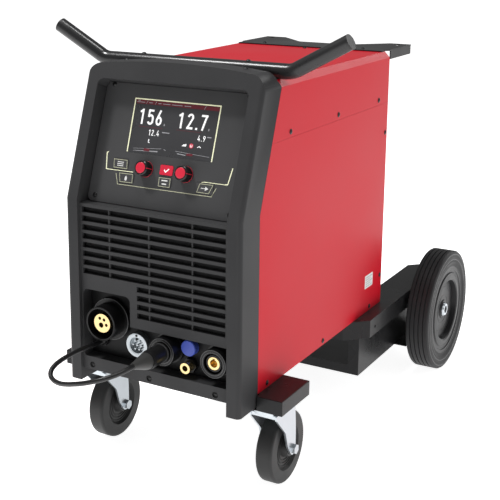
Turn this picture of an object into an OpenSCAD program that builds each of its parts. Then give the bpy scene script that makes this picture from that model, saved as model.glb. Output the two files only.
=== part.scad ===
// MIG welder on its own cart: a sheet-steel power source with a built-in wire feeder,
// two swivel casters under the front and a gas-bottle carrier with two large wheels behind.
// X runs across the front, -Y is the front, +Z is up. The origin is on the floor,
// under the middle of the whole machine. Millimetres.

/* [Casing] */
// Width of the casing and of the moulded front
body_w = 330; // [326:1:334]
// Height of the casing's underside above the floor
base_z = 182; // [181:0.5:183]
// Height of the flat top of the casing
top_z = 678.5; // [678:0.5:680]
// Distance from the moulded front to the rear panel's outer face
body_len = 576; // [574:1:578]
// Thickness of the painted casing sheet
sheet = 1.5; // [1.2:0.1:1.5]

/* [Front] */
// Height of the kink where the front starts to lean back
kink_z = 477; // [475:0.5:478]
// Angle by which the control panel leans back, in degrees
lean = 19.2; // [19:0.1:19.4]
// Depth of the moulded front, from front to back
bezel_depth = 60; // [59:0.5:60]
// Width of each post of the moulded front
post_w = 24; // [23:0.5:24]
// Depth of the control panel behind the moulded front
panel_recess = 26; // [25:0.5:26]
// Spacing of the louvre slots
louvre_pitch = 15; // [14.8:0.1:15]

/* [Handle] */
// Outer diameter of the handle tube
handle_d = 25; // [24:0.5:25]
// Distance between the two ends of the handle, without their caps
handle_span = 540; // [530:2:560]
// Rise of the handle's ends, in degrees
handle_rise = 28.5; // [28:0.5:29]

/* [Wheels] */
// Diameter of the rear wheels
rear_wheel_d = 250; // [248:0.5:250]
// Distance between the outer faces of the rear tyres
rear_track = 496; // [494:1:500]
// Diameter of the front caster wheels
caster_d = 125; // [124:0.5:125]
// Distance from the centre line to a caster's swivel
caster_x = 169; // [168:0.5:169]
// Trail of a caster: its wheel's axle behind its swivel
caster_trail = 34; // [32:0.5:35]

/* [Bottle carrier] */
// Width of the gap that the gas bottle stands in
bottle_gap = 254; // [252:1:256]
// Height of the tray floor that the bottle stands on
tray_z = 60; // [59:0.5:61]

/* [Wire feeder] */
// Diameter of the wire spool
spool_d = 300; // [290:1:300]
// Height of the wire's line, and of the torch socket
torch_z = 272; // [271:0.5:272]
// Distance of the wire's line to the left of the centre line
torch_x = 94; // [93:0.5:94]

/* [Hidden] */
$fn = 64;
far = 2000;
fit = 0.05;       // running clearance, on the radius
gap = 0.15;       // clearance between parts that don't move

hw = body_w / 2;
inner_hw = hw - sheet;
wheel_r = rear_wheel_d / 2;
axle_y = 752.5;
front_reach = 6.5;                       // the torch socket stands this far out of the front
rear_reach = axle_y + wheel_r;
origin_y = (rear_reach - front_reach) / 2;
lean_run = tan(lean);
bezel_in = hw - post_w;
bezel_top = 700;
corner_z = 666;                          // centre of the front's top corners
corner_r = 26.5;
crown = bezel_top - corner_z - corner_r;
crown_r = ((hw - corner_r) * (hw - corner_r) + crown * crown) / (2 * crown);
bezel_foot = 161;
shoulder_z = 668;
crown_back = bezel_depth - 8.5 + (shoulder_z - kink_z) * lean_run;
cover_edge = 10;                         // width of the casing's sloping top edges
seam_z = 583;

panel_half = bezel_in - 2;
screen_x = [-76.5, 81.5];
screen_low = 89.5;
screen_high = 177.5;
knob_x = [-35.1, 39.9];
knob_s = 65.5;
knob_r = 13;
knob_len = 17;
knob_shaft_r = 3;
key_proud = 1;

socket_y = 30;                           // front face of the recessed socket panel
grille_y = 7;
torch_ring_r = 29;
power_x = [21, 117];
power_z = 244.5;
remote_x = -39;
remote_z = 237.5;
gas_x = 60.5;
gas_z = 222;
cap_x = 60.5;
cap_z = 253;
gland_x = -112;
gland_z = 229.8;
lead_d = 8;

door_axis = [-hw - 3.5, 66.5];
hinge_zs = [195, 440];
hinge_pin_r = 2;
latch_y = 548;
latch_z = 385;
latch_r = 5;

spool_y = 400;
spool_z = 400;
spool_r = spool_d / 2;
spool_w = 100;
spool_bore_r = 25.5;
partition_x = -20;
feed_y = 170;
roll_r = 15;
roll_gap = 0.6;
roll_shaft_r = 4;
arm_pivot = [207, 303];

fan_x = 72;
fan_z = 400;
fan_shaft_r = 3;
switch_x = 100;
switch_z = 600;
switch_r = 5;
mains_x = 100;
mains_z = 245;
inlet_x = -100;

handle_y = 139;
handle_r = handle_d / 2;
handle_z = top_z + handle_r;
handle_bend_r = 40;
handle_kink_x = 177;
handle_arc = handle_bend_r * tan(handle_rise / 2);
horn_len = (handle_span / 2 - handle_kink_x) / cos(handle_rise) - handle_arc;

beam_y = [52, 152];
beam_x = 213;
beam_low = base_z - 25;
caster_y = 101;
caster_r = caster_d / 2;
caster_axle_r = 5;
caster_wheel_w = 30;
fork_in = 21.5;
fork_out = 25;
kingpin_r = 6;

deck_half = 191;
deck_front = 425;
deck_rear = 865;
deck_t = 2;
tray_half = 163;
tray_front = 480;
flange_low = 147;
axle_z = wheel_r;
axle_r = 10;
tyre_out = rear_track / 2;
tyre_in = tyre_out - 48;
rim_r = 92;

bracket_z = top_z + 2.1;
bracket_y = [562, 701];
bracket_tab_y = 578.5;
bracket_half = 160;

screw_r = 2;
head_r = 4.2;
seam_screws = [161, 346, 529];
base_screws = [92, 306, 519];
rear_screws = [240.5, 525.5];
trim_screws = [-122, -8, 117];
panel_screws = [for (x = [-125, 129], s = [13, 198.5]) [x, s]];
top_screws = [[-106, 586, bracket_z], [106, 586, bracket_z], [0, 549, top_z]];
handle_screws = [-99, 99];
crown_screw = [112, 108];

// How far the plug's soft sleeve bends up towards its cable, in degrees.
plug_tilt = 7;

// Points of the polarity lead, from its gland round to its plug.
lead_route = [
    [-112, 17, 229.8], [-112, 6, 230.2], [-112, -8, 231.4], [-113.8, -28, 232.5], [-116.8, -46, 231.8],
    [-119.2, -63, 230.3], [-120.8, -80, 228.2], [-121.1, -95, 225], [-119.5, -106, 220.8],
    [-115, -113.5, 216.7], [-106, -119.5, 213.8], [-90.5, -125.5, 213.5], [-72, -130, 217],
    [-53.5, -133, 222.5], [-35.5, -134, 228.2], [-18, -131, 234], [-3, -124, 238.8], [6.5, -115, 241.9],
    [13.5, -104.5, 244.6], [18.6, -93, 247.2], [21, -79.72, 249.13]
];

bezel_grey = [0.27, 0.27, 0.28];
sheet_red = [0.75, 0.12, 0.15];
steel_black = [0.16, 0.16, 0.17];
rubber_black = [0.12, 0.12, 0.12];
zinc = [0.75, 0.76, 0.78];
brass_yellow = [0.85, 0.72, 0.4];

// --- Helpers --------------------------------------------------------------------------------

// Measures y from the moulded front instead of from the origin.
module from_front() translate([0, -origin_y, 0]) children();

module mirror_x() {
    children();
    mirror([1, 0, 0]) children();
}

module box(x, y, z) translate([x[0], y[0], z[0]]) cube([x[1] - x[0], y[1] - y[0], z[1] - z[0]]);

module rod_x(r, x, y, z) translate([x[0], y, z]) rotate([0, 90, 0]) cylinder(r = r, h = x[1] - x[0]);

module rod_y(r, x, y, z) translate([x, y[1], z]) rotate([90, 0, 0]) cylinder(r = r, h = y[1] - y[0]);

module rod_z(r, x, y, z) translate([x, y, z[0]]) cylinder(r = r, h = z[1] - z[0]);

module hex_x(af, x, y, z) translate([x[0], y, z]) rotate([0, 90, 0])
    cylinder(r = af / sqrt(3), h = x[1] - x[0], $fn = 6);

module hex_y(af, x, y, z) translate([x, y[1], z]) rotate([90, 0, 0])
    cylinder(r = af / sqrt(3), h = y[1] - y[0], $fn = 6);

// An outline drawn in Y and Z, pushed out along X.
module slab_x(x) translate([x[0], 0, 0]) rotate([90, 0, 90]) linear_extrude(x[1] - x[0]) children();

// An outline drawn in X and Z, pushed out along Y.
module slab_y(y) translate([0, y[1], 0]) rotate([90, 0, 0]) linear_extrude(y[1] - y[0]) children();

// A profile of [x, radius] points turned about a line along X at y, z.
module turn_x(profile, y, z) translate([0, y, z]) rotate([0, 90, 0]) rotate_extrude($fn = 96)
    polygon([for (p = profile) [p[1], p[0]]]);

// A profile of [y, radius] points turned about a line along Y at x, z.
module turn_y(profile, x, z) translate([x, 0, z]) rotate([-90, 0, 0]) rotate_extrude($fn = 96)
    polygon([for (p = profile) [p[1], p[0]]]);

module rounded(x, y, r) {
    translate([x[0] + r, y[0]]) square([x[1] - x[0] - 2 * r, y[1] - y[0]]);
    translate([x[0], y[0] + r]) square([x[1] - x[0], y[1] - y[0] - 2 * r]);
    for (cx = [x[0] + r, x[1] - r], cy = [y[0] + r, y[1] - r]) translate([cx, cy]) circle(r);
}

// Puts x across, y into the panel and z up its slope, from the kink of the front.
module on_lean() translate([0, 0, kink_z]) rotate([-lean, 0, 0]) children();

// Everything behind the moulded front, as an outline in Y and Z, with its rear edge moved by d.
module behind_bezel(d) polygon([
    [bezel_depth + d, 0], [bezel_depth + d, kink_z],
    [bezel_depth + d + (shoulder_z - kink_z) * lean_run, shoulder_z],
    [bezel_depth + d - 13 + (shoulder_z - kink_z) * lean_run, shoulder_z + 16],
    [bezel_depth + d - 13 + (shoulder_z - kink_z) * lean_run, far], [far, far], [far, 0]
]);

// --- Moulded front --------------------------------------------------------------------------

// The front seen square on: straight sides, round top corners and a slightly crowned top.
module bezel_face() {
    half = hw - corner_r;
    translate([-hw, bezel_foot]) square([body_w, corner_z - bezel_foot]);
    for (x = [-half, half]) translate([x, corner_z]) circle(corner_r);
    intersection() {
        translate([0, bezel_top - crown_r]) circle(crown_r, $fn = 180);
        translate([-half - 6, bezel_foot]) square([2 * half + 12, 600]);
    }
}

// What is cut away along a front edge to round it, drawn in X and Y for the right-hand edge.
module edge_cut(edge_r) {
    polygon([
        [hw - edge_r, -2],
        for (a = [90:-10:0]) [hw - edge_r + edge_r * cos(a), edge_r - edge_r * sin(a)],
        [hw + 2, edge_r], [hw + 2, -2]
    ]);
}

module front_bezel() from_front() color(bezel_grey) difference() {
    intersection() {
        slab_x([-hw, hw]) polygon([
            [0, bezel_foot], [0, kink_z], [(706 - kink_z) * lean_run, 706],
            [crown_back, 706], [crown_back, shoulder_z + 10.5],
            [bezel_depth + (shoulder_z - kink_z) * lean_run, shoulder_z],
            [bezel_depth, kink_z], [bezel_depth, bezel_foot]
        ]);
        slab_y([-1, far]) bezel_face();
    }
    // The two front edges are rounded, below the kink and above it.
    mirror_x() {
        translate([0, 0, bezel_foot - 1]) linear_extrude(kink_z - bezel_foot + 31) edge_cut(8);
        on_lean() translate([0, 0, -30]) linear_extrude(320) edge_cut(7.7);
    }
    // The opening between the posts, open at the bottom and round at its top corners.
    on_lean() translate([0, 250, 0]) rotate([90, 0, 0]) linear_extrude(500)
        rounded([-bezel_in, bezel_in], [-420, 203], 12);
    // Each post is a channel, open behind.
    mirror_x() slab_x([bezel_in + 3, hw - 3]) polygon([
        [4, bezel_foot + 3], [4, kink_z], [4 + (640 - kink_z) * lean_run, 640], [far, 640],
        [far, bezel_foot + 3]
    ]);
    mirror_x() rod_z(screw_r + gap, crown_screw[0], crown_screw[1], [684, 720]);
}

// The recess for the sockets: tall on the left for the torch, low on the right, grown by m.
module pocket(m) {
    rounded([-138.5 - m, -44 + m], [204 - m, 323 + m], 10 + m);
    rounded([-138.5 - m, 150 + m], [204 - m, 272 + m], 6 + m);
}

module louvre_grille() from_front() color(bezel_grey) {
    low = 464;
    slot = 9.5;
    ribs = [-84, -7, 74];
    difference() {
        slab_y([grille_y, grille_y + 6]) difference() {
            translate([gap - bezel_in, 181]) square([2 * (bezel_in - gap), 469.5 - 181]);
            pocket(0);
            for (i = [0:11]) {
                left = i < 8 ? -137 : -30;
                translate([left, low - i * louvre_pitch - slot]) square([135 - left, slot]);
            }
            for (x = trim_screws) translate([x, 190]) circle(screw_r + gap);
        }
        for (x = trim_screws) rod_y(5.4, x, [grille_y - 1, grille_y + 3], 190);
    }
    for (x = ribs) {
        foot = x == ribs[0] ? low - 8 * louvre_pitch : low - 12 * louvre_pitch;
        box([x - 1.2, x + 1.2], [grille_y + 2, grille_y + 6], [foot, low]);
    }
    // The walls of the socket recess, back to the socket panel.
    slab_y([grille_y + 5, socket_y - gap]) difference() {
        pocket(1.8);
        pocket(0);
        translate([bezel_in - gap, 150]) square([50, 200]);
    }
    // The ledge that closes the top, up to the control panel.
    slab_x([gap - bezel_in, bezel_in - gap]) polygon([
        [grille_y, 466], [grille_y, 469.5], [29, 469.5], [29, 467]
    ]);
}

module socket_panel() from_front() color(steel_black) difference() {
    box([-138, 138], [socket_y, socket_y + 2], [192, 340]);
    rod_y(22.2, -torch_x, [0, 60], torch_z);
    for (x = power_x) rod_y(15, x, [0, 60], power_z);
    rod_y(16.2, remote_x, [0, 60], remote_z);
    rod_y(7.2, gas_x, [0, 60], gas_z);
    rod_y(6.2, cap_x, [0, 60], cap_z);
    rod_y(5.2, gland_x, [0, 60], gland_z);
}

// --- Control panel --------------------------------------------------------------------------

// Keys: name, centre across, centre up the slope, width, height.
keys = [["set", 3.5, 68, 24, 16], ["mode", 3.5, 48.5, 25, 17], ["menu", -85.5, 68.5, 30, 17],
        ["gas", -70.5, 47, 30, 17], ["feed", 77.5, 47.5, 32, 17]];

module key_shape(k, grow) rounded(
    [k[1] - k[3] / 2 - grow, k[1] + k[3] / 2 + grow],
    [k[2] - k[4] / 2 - grow, k[2] + k[4] / 2 + grow], 2.5 + grow);

// Pushes an outline drawn on the panel's face from depth d[0] to depth d[1].
module in_panel(d) on_lean() translate([0, d[1], 0]) rotate([90, 0, 0])
    linear_extrude(d[1] - d[0]) children();

module control_panel() from_front() color(bezel_grey)
    in_panel([panel_recess, panel_recess + 3]) difference() {
        rounded([-panel_half, panel_half], [2.5, 202], 10);
        translate([screen_x[0], screen_low]) square([screen_x[1] - screen_x[0], screen_high - screen_low]);
        for (k = keys) key_shape(k, 0.4);
        for (x = knob_x) translate([x, knob_s]) circle(knob_shaft_r + fit);
        for (p = panel_screws) translate(p) circle(screw_r + gap);
    }

module display_screen() from_front() color([0.12, 0.13, 0.15])
    in_panel([panel_recess + 0.3, panel_recess + 8]) translate([screen_x[0] + gap, screen_low + gap])
        square([screen_x[1] - screen_x[0] - 2 * gap, screen_high - screen_low - 2 * gap]);

// A fluted knob on its spindle.
module knob(x) from_front() color(rubber_black) on_lean() {
    flutes = 14;
    back = panel_recess - 0.5;
    difference() {
        turn_y([[back, 0], [back, knob_r], [back - 3, knob_r], [back - knob_len + 1.5, knob_r - 1],
                [back - knob_len, knob_r - 2.5], [back - knob_len, 0]], x, knob_s);
        for (i = [0:flutes - 1]) {
            a = i * 360 / flutes;
            out = knob_r + 0.4;
            rod_y(1.5, x + out * cos(a), [back - knob_len - 1, back - 3.5], knob_s + out * sin(a));
        }
    }
    rod_y(knob_shaft_r, x, [back - 1, panel_recess + 10], knob_s);
}
module knob_left() knob(knob_x[0]);
module knob_right() knob(knob_x[1]);

module key(i, tint) from_front() color(tint)
    in_panel([panel_recess - key_proud, panel_recess + 3]) key_shape(keys[i], 0);
module set_button() key(0, [0.85, 0.2, 0.3]);
module mode_button() key(1, bezel_grey);
module menu_button() key(2, bezel_grey);
module gas_test_button() key(3, bezel_grey);
module wire_feed_button() key(4, bezel_grey);

// --- Sockets --------------------------------------------------------------------------------

module torch_socket() from_front() color(steel_black) difference() {
    union() {
        rod_y(36, -torch_x, [socket_y - 8, socket_y], torch_z);
        rod_y(torch_ring_r, -torch_x, [-front_reach, socket_y - 4], torch_z);
        rod_y(22, -torch_x, [socket_y - 4, 62], torch_z);
    }
    rod_y(torch_ring_r - 3, -torch_x, [-front_reach - 1, socket_y - 8], torch_z);
    rod_y(16 + fit, -torch_x, [0, 70], torch_z);
}

module torch_adaptor() from_front() color(brass_yellow) difference() {
    rod_y(16, -torch_x, [-2, 100], torch_z);
    rod_y(4.6, -torch_x - 2, [-10, 110], torch_z - 3.5);
    for (p = [[-4.5, 8], [4, 6.5], [8.5, -2]]) rod_y(2.8, p[0] - torch_x, [-10, 14], torch_z + p[1]);
}

module remote_socket() from_front() color(zinc) difference() {
    union() {
        rod_y(20.5, remote_x, [18, socket_y], remote_z);
        rod_y(16, remote_x, [socket_y - 1, 50], remote_z);
    }
    difference() {
        rod_y(14, remote_x, [10, 27], remote_z);
        for (i = [0:5]) rod_y(1.4, remote_x + 8 * cos(60 * i), [19, 30], remote_z + 8 * sin(60 * i));
        rod_y(1.4, remote_x, [19, 30], remote_z);
    }
}

module power_sockets() from_front() color(steel_black) for (x = power_x) difference() {
    union() {
        rod_y(26, x, [24, socket_y], power_z);
        rod_y(23.3, x, [0, 25], power_z);
        rod_y(14.8, x, [socket_y - 1, 46], power_z);
    }
    rod_y(17, x, [-1, 23], power_z);
    rod_y(10.5 + fit, x, [0, 60], power_z);
    box([bezel_in - 0.3, 160], [-1, 60], [200, 300]);
}

// Brass contacts with a keyed bore for a twist-in plug.
module socket_contacts() from_front() color(brass_yellow) for (x = power_x) difference() {
    rod_y(10.5, x, [2.5, 58], power_z);
    rod_y(6.5 + fit, x, [-1, 26], power_z);
    box([x - 2, x + 2], [-1, 12], [power_z, power_z + 8]);
}

module lead_gland() from_front() color(steel_black) {
    hex_y(17, gland_x, [24, socket_y], gland_z);
    turn_y([[24.5, 0], [24.5, 8], [20, 7.5], [17, 5], [17, 0]], gland_x, gland_z);
    rod_y(5, gland_x, [socket_y - 1, 44], gland_z);
}

// Unit vectors and rings of a tube swept along a list of points.
function unit(v) = v / norm(v);
function along(p, i) = unit(p[min(i + 1, len(p) - 1)] - p[max(i - 1, 0)]);
function across(t) = unit(cross(t, abs(t[2]) > 0.9 ? [1, 0, 0] : [0, 0, 1]));
function ring(c, t, r, n) = let (u = across(t), v = cross(t, u))
    [for (k = [0:n - 1]) c + r * (cos(360 * k / n) * u + sin(360 * k / n) * v)];
function square_end(p, i) = i == 0 ? [0, -1, 0]
    : i == len(p) - 1 ? [0, cos(plug_tilt), -sin(plug_tilt)] : along(p, i);

module tube(p, d, n) {
    m = len(p);
    rings = [for (i = [0:m - 1]) each ring(p[i], square_end(p, i), d / 2, n)];
    sides = [for (i = [0:m - 2], k = [0:n - 1])
        [i * n + k, i * n + (k + 1) % n, (i + 1) * n + (k + 1) % n, (i + 1) * n + k]];
    polyhedron(rings, concat([[for (k = [n - 1:-1:0]) k]], sides, [[for (k = [0:n - 1]) (m - 1) * n + k]]));
}

module polarity_lead() from_front() color(rubber_black) tube(lead_route, lead_d, 12);

module polarity_plug() from_front() color(rubber_black) {
    turn_y([[1.5, 0], [1.5, 15], [-36, 15.5], [-42, 14.5], [-42, 0]], power_x[0], power_z);
    translate([power_x[0], -42, power_z]) rotate([-plug_tilt, 0, 0])
        turn_y([[3, 0], [3, 12.6], [-1, 12.6], [-32, 5.6], [-38, 5], [-38, 0]], 0, 0);
    rod_y(6.5, power_x[0], [1, 24], power_z);
}

// Gas outlet, quick coupling nipple and the inlet for the bottle's hose.
module gas_fittings() from_front() color(brass_yellow) {
    difference() {
        union() {
            rod_y(9, gas_x, [8, 20], gas_z);
            rod_y(7, gas_x, [19, 60], gas_z);
        }
        rod_y(5, gas_x, [0, 70], gas_z);
    }
    difference() {
        union() {
            rod_y(8, cap_x, [21, socket_y - gap], cap_z);
            rod_y(6, cap_x, [20, 55], cap_z);
        }
        rod_y(3.5, cap_x, [0, 70], cap_z);
    }
    difference() {
        union() {
            rod_y(7, inlet_x, [560, body_len + 10], mains_z);
            hex_y(19, inlet_x, [body_len + gap, body_len + 8], mains_z);
            turn_y([for (i = [0:3]) each [[body_len + 8 + i * 6, 4.5], [body_len + 9 + i * 6, 6.2],
                    [body_len + 14 + i * 6, 4.5]], [body_len + 32, 0], [body_len + 8, 0]], inlet_x, mains_z);
        }
        rod_y(2.8, inlet_x, [550, 620], mains_z);
    }
}

module gas_outlet_nut() from_front() color(steel_black) difference() {
    hex_y(22, gas_x, [21.5, socket_y - gap], gas_z);
    rod_y(7 + gap, gas_x, [0, 60], gas_z);
}

module coupling_cap() from_front() color([0.3, 0.38, 0.75]) difference() {
    turn_y([[socket_y - 0.4, 0], [socket_y - 0.4, 13.5], [18.5, 13.5], [17, 12.5], [17, 0]], cap_x, cap_z);
    rod_y(8.3, cap_x, [20, 40], cap_z);
}

// --- Casing ---------------------------------------------------------------------------------

// The casing's cross-section seen from the front, as a solid outline shrunk by t.
module casing_section(t) {
    e = cover_edge + t * (sqrt(2) - 2);
    polygon([[t - hw, 0], [hw - t, 0], [hw - t, shoulder_z], [hw - t - e, top_z - t],
             [e + t - hw, top_z - t], [t - hw, shoulder_z]]);
}

module top_cover() from_front() color(sheet_red) difference() {
    intersection() {
        slab_y([0, body_len]) difference() {
            casing_section(0);
            casing_section(sheet);
        }
        slab_x([-far, far]) behind_bezel(0.5);
        box([-far, far], [0, far], [seam_z, far]);
    }
    for (y = seam_screws) rod_x(screw_r + gap, [-far, far], y, seam_z + 9.5);
    for (x = handle_screws) rod_z(screw_r + gap, x, handle_y, [600, 700]);
    rod_z(screw_r + gap, 0, top_screws[2][1], [600, 700]);
}

module right_side_panel() from_front() color(sheet_red) difference() {
    intersection() {
        box([inner_hw, hw], [0, body_len], [base_z, seam_z - 0.3]);
        slab_x([-far, far]) behind_bezel(0.5);
    }
    for (y = base_screws) rod_x(screw_r + gap, [0, far], y, base_z + 8);
    for (z = rear_screws) rod_x(screw_r + gap, [0, far], body_len - 9, z);
}

// Knuckle of a hinge, with the strap that ties it to a plate.
module door_knuckle(z) {
    difference() {
        union() {
            rod_z(3.3, door_axis[0], door_axis[1], z);
            box([door_axis[0] - 1, -hw], [door_axis[1], door_axis[1] + 16], z);
        }
        rod_z(hinge_pin_r + fit, door_axis[0], door_axis[1], [z[0] - 1, z[1] + 1]);
    }
}

module wire_door() from_front() color(sheet_red) {
    difference() {
        intersection() {
            box([-hw, -inner_hw], [door_axis[1] + 3, body_len - 1], [base_z + 2, seam_z - 0.8]);
            slab_x([-far, far]) behind_bezel(5);
        }
        rod_x(latch_r + fit, [-far, 0], latch_y, latch_z);
    }
    for (z = hinge_zs) door_knuckle([z + 10.3, z + 20]);
}

// Fixed half of each hinge: a plate on the post, a knuckle and the pin.
module door_hinges() from_front() color(steel_black) for (z = hinge_zs) {
    difference() {
        union() {
            box([-hw - 2, -hw - 0.1], [44, door_axis[1] - 1], [z, z + 10]);
            box([door_axis[0] - 1, -hw - 0.1], [door_axis[1] - 6, door_axis[1]], [z, z + 10]);
            rod_z(3.3, door_axis[0], door_axis[1], [z, z + 10]);
        }
    }
    rod_z(hinge_pin_r, door_axis[0], door_axis[1], [z + 5, z + 21]);
}

// Quarter-turn latch, undone: turned, its tongue goes behind the flange of the rear panel.
module door_latch() from_front() color(steel_black) {
    difference() {
        turn_x([[-hw - 7, 0], [-hw - 7, 12], [-hw - 5, 14], [-hw - 0.4, 14], [-hw - 0.4, 0]],
            latch_y, latch_z);
        box([-hw - 10, -hw - 4], [latch_y - 1.5, latch_y + 1.5], [latch_z - 9, latch_z + 9]);
    }
    rod_x(latch_r, [-hw - 1, -inner_hw + 4], latch_y, latch_z);
    box([-inner_hw + 2.2, -inner_hw + 4.7], [latch_y - 6, latch_y + 6], [latch_z - 22, latch_z + 6]);
}

module rear_panel() from_front() color(steel_black) {
    slab_y([body_len - 1.5, body_len]) difference() {
        intersection() {
            casing_section(sheet + 0.1);
            translate([-far, base_z + 2.1]) square([2 * far, far]);
        }
        // Air intake: rings of slots crossed by a web.
        translate([fan_x, fan_z]) difference() {
            for (r = [14:10:54]) difference() {
                circle(r + 6);
                circle(r);
            }
            for (a = [45, 135]) rotate(a) square([130, 7], center = true);
            circle(14);
        }
        translate([switch_x, switch_z]) circle(switch_r + fit);
        translate([mains_x, mains_z]) circle(10.2);
        translate([inlet_x, mains_z]) circle(7.2);
        for (x = [-120, 120]) translate([x, 655]) circle(screw_r + gap);
    }
    // Flanges along the two sides, which the side panel is screwed to and the latch holds.
    difference() {
        mirror_x() box([inner_hw - 1.6, inner_hw - 0.1], [body_len - 17, body_len - 1],
            [base_z + 18, seam_z - 2]);
        for (z = rear_screws) rod_x(screw_r + gap, [0, far], body_len - 9, z);
    }
}

module base_pan() from_front() color(steel_black) difference() {
    union() {
        box([0.1 - inner_hw, inner_hw - 0.1], [62, body_len - 1.7], [base_z, base_z + 2]);
        box([inner_hw - 1.6, inner_hw - 0.1], [62, body_len - 1.7], [base_z, base_z + 16]);
        box([-inner_hw + 0.1, -inner_hw + 1.6], [62, body_len - 1.7], [base_z, base_z + 10]);
    }
    for (y = base_screws) rod_x(screw_r + gap, [0, far], y, base_z + 8);
}

module centre_partition() from_front() color(zinc) difference() {
    intersection() {
        box([partition_x - 1, partition_x], [0, body_len - 1.7], [base_z + 2.1, 660]);
        slab_x([-far, far]) behind_bezel(4);
    }
    rod_x(31, [-100, 100], feed_y, torch_z - roll_r - roll_gap / 2);
}

// --- Wire feeder ----------------------------------------------------------------------------

module wire_spool() from_front() color([0.8, 0.5, 0.25]) {
    edge = torch_x + spool_w / 2;
    turn_x([
        [-edge, spool_bore_r], [-edge, spool_r], [4 - edge, spool_r], [4 - edge, 132],
        [-edge + spool_w - 4, 132], [-edge + spool_w - 4, spool_r], [-edge + spool_w, spool_r],
        [-edge + spool_w, spool_bore_r]
    ], spool_y, spool_z);
}

module spool_hub() from_front() color(steel_black) {
    r = spool_bore_r - fit;
    inner = partition_x - 1.1;
    turn_x([[inner, 0], [inner, 45], [inner - 6, 45], [inner - 6, 34], [inner - 22, 34], [inner - 22, r],
            [-torch_x - spool_w / 2 - 0.6, r], [-torch_x - spool_w / 2 - 0.6, 32],
            [-torch_x - spool_w / 2 - 9, 32], [-torch_x - spool_w / 2 - 9, 0]], spool_y, spool_z);
}

plate_x = [-64, -56];

module feed_plate() from_front() color([0.2, 0.2, 0.22]) {
    difference() {
        box(plate_x, [112, 232], [205, 345]);
        rod_x(roll_shaft_r + fit, [-100, 0], feed_y, torch_z - roll_r - roll_gap / 2);
    }
    // Feet to the partition, the pressure arm's pivot and the wire inlet guide.
    for (y = [122, 222], z = [215, 335]) rod_x(6, [plate_x[1] - 1, partition_x - 1.1], y, z);
    rod_x(4, [-92, plate_x[0] + 1], arm_pivot[0], arm_pivot[1]);
    difference() {
        union() {
            rod_y(6, -torch_x, [205, 235], torch_z);
            box([-torch_x, plate_x[0] + 1], [210, 222], [torch_z - 5, torch_z + 5]);
        }
        rod_y(1.5, -torch_x, [200, 240], torch_z);
    }
}

module drive_roll() from_front() color(zinc) {
    z = torch_z - roll_r - roll_gap / 2;
    turn_x([[-104, 0], [-104, roll_r], [-torch_x - 1, roll_r], [-torch_x, roll_r - 1],
            [-torch_x + 1, roll_r],
            [-84, roll_r], [-84, 9], [-66, 9], [-66, 0]], feed_y, z);
    rod_x(roll_shaft_r, [-67, -48], feed_y, z);
    rod_x(8, [-110, -103], feed_y, z);
}

// Arm over the drive roll, with its roll and the spring screw that loads it.
module pressure_arm() from_front() color([0.25, 0.25, 0.27]) {
    z = torch_z + roll_r + roll_gap / 2;
    difference() {
        slab_x([-80, -70]) difference() {
            union() {
                translate(arm_pivot) circle(10);
                translate([feed_y, z]) circle(12);
                polygon([[arm_pivot[0], arm_pivot[1] + 10], [arm_pivot[0], arm_pivot[1] - 8],
                         [feed_y, z - 10], [132, z - 4], [126, z + 12], [feed_y, z + 16]]);
            }
            translate(arm_pivot) circle(roll_shaft_r + fit);
        }
    }
    rod_x(roll_r, [-104, -84], feed_y, z);
    rod_x(5, [-106, -79], feed_y, z);
    rod_z(3, -75, 140, [z + 5, z + 45]);
    rod_z(9, -75, 140, [z + 38, z + 60]);
}

module feed_motor() from_front() color(zinc) {
    z = torch_z - roll_r - roll_gap / 2;
    difference() {
        union() {
            rod_x(30, [plate_x[1] + 0.1, 10], feed_y, z);
            rod_x(26, [9, 60], feed_y, z);
        }
        rod_x(roll_shaft_r + fit, [-60, -44], feed_y, z);
    }
}

// --- Power source ---------------------------------------------------------------------------

module heat_sink() from_front() color([0.7, 0.71, 0.73]) {
    box([10, 150], [250, 500], [300, 308]);
    for (i = [0:9]) box([12 + i * 15, 15 + i * 15], [250, 500], [250, 301]);
    for (y = [262, 484]) box([66, 94], [y, y + 4], [base_z + 2.1, 251]);
}

module power_board() from_front() color([0.1, 0.35, 0.2]) {
    box([10, 150], [245, 505], [318, 320]);
    for (x = [40, 80, 120]) rod_z(16, x, 300, [319, 365]);
    box([30, 90], [360, 420], [319, 365]);
    box([102, 140], [350, 480], [319, 342]);
    for (x = [20, 140], y = [258, 492]) rod_z(4, x, y, [308.1, 319]);
}

module fan_frame() from_front() color(steel_black) {
    difference() {
        box([fan_x - 60, fan_x + 60], [540, body_len - 1.6], [fan_z - 60, fan_z + 60]);
        rod_y(57, fan_x, [500, 600], fan_z);
    }
    intersection() {
        union() for (a = [0, 90, 180, 270]) translate([fan_x, 0, fan_z]) rotate([0, a, 0])
            box([0, 58], [540, 544], [-3, 3]);
        rod_y(58, fan_x, [530, 600], fan_z);
    }
    rod_y(20, fan_x, [540, 546], fan_z);
    rod_y(fan_shaft_r, fan_x, [545, 566], fan_z);
}

module fan_rotor() from_front() color([0.1, 0.1, 0.1]) difference() {
    union() {
        rod_y(20, fan_x, [548, 568], fan_z);
        for (a = [0:60:300]) translate([fan_x, 558, fan_z]) rotate([0, a, 0]) rotate([35, 0, 0])
            box([12, 53], [-1, 1], [-8, 8]);
    }
    rod_y(fan_shaft_r + fit, fan_x, [500, 567], fan_z);
}

module main_switch() from_front() color([0.75, 0.1, 0.12]) {
    rod_y(17, switch_x, [body_len + 0.5, body_len + 10], switch_z);
    box([switch_x - 16, switch_x + 16], [body_len + 9, body_len + 22], [switch_z - 4, switch_z + 4]);
    rod_y(switch_r, switch_x, [556, body_len + 1], switch_z);
}

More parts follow.
